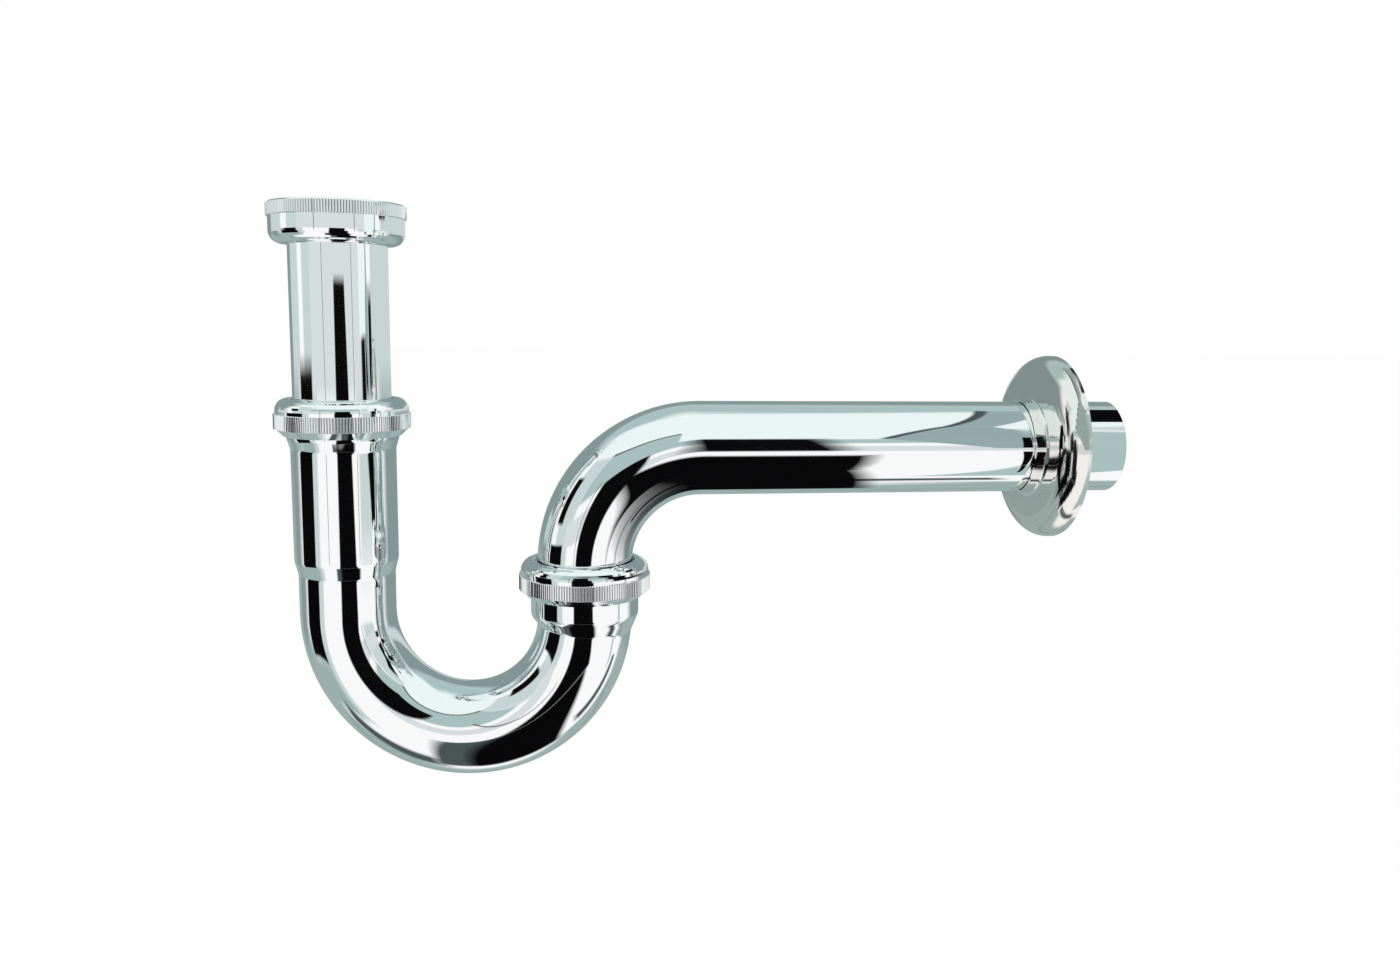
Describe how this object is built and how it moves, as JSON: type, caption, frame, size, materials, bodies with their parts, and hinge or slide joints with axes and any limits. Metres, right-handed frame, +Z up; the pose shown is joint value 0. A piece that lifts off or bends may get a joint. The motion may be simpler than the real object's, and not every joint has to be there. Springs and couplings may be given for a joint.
{
  "type": "tubular trap",
  "caption": "Chrome tubular washbasin trap: union-nut inlet tube, U-bend with slip joints under knurled nuts, horizontal outlet tube and sliding wall rosette.",
  "frame": {"origin": "on the outlet tube's axis where it meets the wall, level with the rosette's open rim", "axes": "+X along the outlet tube into the wall, +Z up along the inlet tube, +Y to the left of the outlet direction"},
  "size_m": [0.2903, 0.07, 0.194],
  "materials": {
    "chrome": "polished chrome plate on brass",
    "satin_steel": "satin stainless sheet",
    "rubber": "black moulded rubber",
    "nylon": "white moulded plastic"
  },
  "bodies": {
    "outlet": {"outlet_bend": "chrome"},
    "rosette": {"wall_rosette": "satin_steel"},
    "trap": {"u_bend": "chrome", "outlet_cone_seal": "rubber"},
    "outlet_ring": {"outlet_slip_ring": "nylon"},
    "outlet_nut": {"outlet_slip_nut": "chrome"},
    "inlet_ring": {"inlet_slip_ring": "nylon"},
    "inlet_nut": {"inlet_slip_nut": "chrome"},
    "inlet_seal": {"inlet_cone_seal": "rubber"},
    "inlet": {"inlet_tube": "chrome", "inlet_washer": "rubber"},
    "union_nut": {"inlet_union_nut": "chrome"}
  },
  "joints": [
    {"name": "outlet_swivel", "type": "hinge", "parent": "outlet", "child": "trap", "pos_m": [-0.166, 0, -0.044], "axis": [0, 0, 1], "range_deg": [-119, 141]},
    {"name": "rosette_slide", "type": "slide", "parent": "outlet", "child": "rosette", "axis": [1, 0, 0], "range_m": [-0.09, 0]},
    {"name": "outlet_nut_lift", "type": "slide", "parent": "trap", "child": "outlet_ring", "axis": [0, 0, 1], "range_m": [0, 0.0046]},
    {"name": "outlet_nut_turn", "type": "hinge", "parent": "outlet_ring", "child": "outlet_nut", "pos_m": [-0.166, 0, -0.044], "axis": [0, 0, 1], "range_deg": [0, 1080]},
    {"name": "inlet_nut_lift", "type": "slide", "parent": "trap", "child": "inlet_ring", "axis": [0, 0, 1], "range_m": [0, 0.0046]},
    {"name": "inlet_nut_turn", "type": "hinge", "parent": "inlet_ring", "child": "inlet_nut", "pos_m": [-0.24655, 0.01537, 0.009], "axis": [0, 0, 1], "range_deg": [0, 1080]},
    {"name": "inlet_swivel", "type": "hinge", "parent": "trap", "child": "inlet_seal", "pos_m": [-0.24655, 0.01537, 0.009], "axis": [0, 0, 1], "continuous": true},
    {"name": "inlet_slide", "type": "slide", "parent": "inlet_seal", "child": "inlet", "axis": [0, 0, 1], "range_m": [-0.012, 0.015]},
    {"name": "union_nut_spin", "type": "hinge", "parent": "inlet", "child": "union_nut", "pos_m": [-0.24655, 0.01537, 0.07], "axis": [0, 0, 1], "continuous": true}
  ],
  "couplings": [
    {"joint": "outlet_nut_lift", "follows": "outlet_nut_turn", "m_per_rad": 0.00023873},
    {"joint": "inlet_nut_lift", "follows": "inlet_nut_turn", "m_per_rad": 0.00023873}
  ]
}
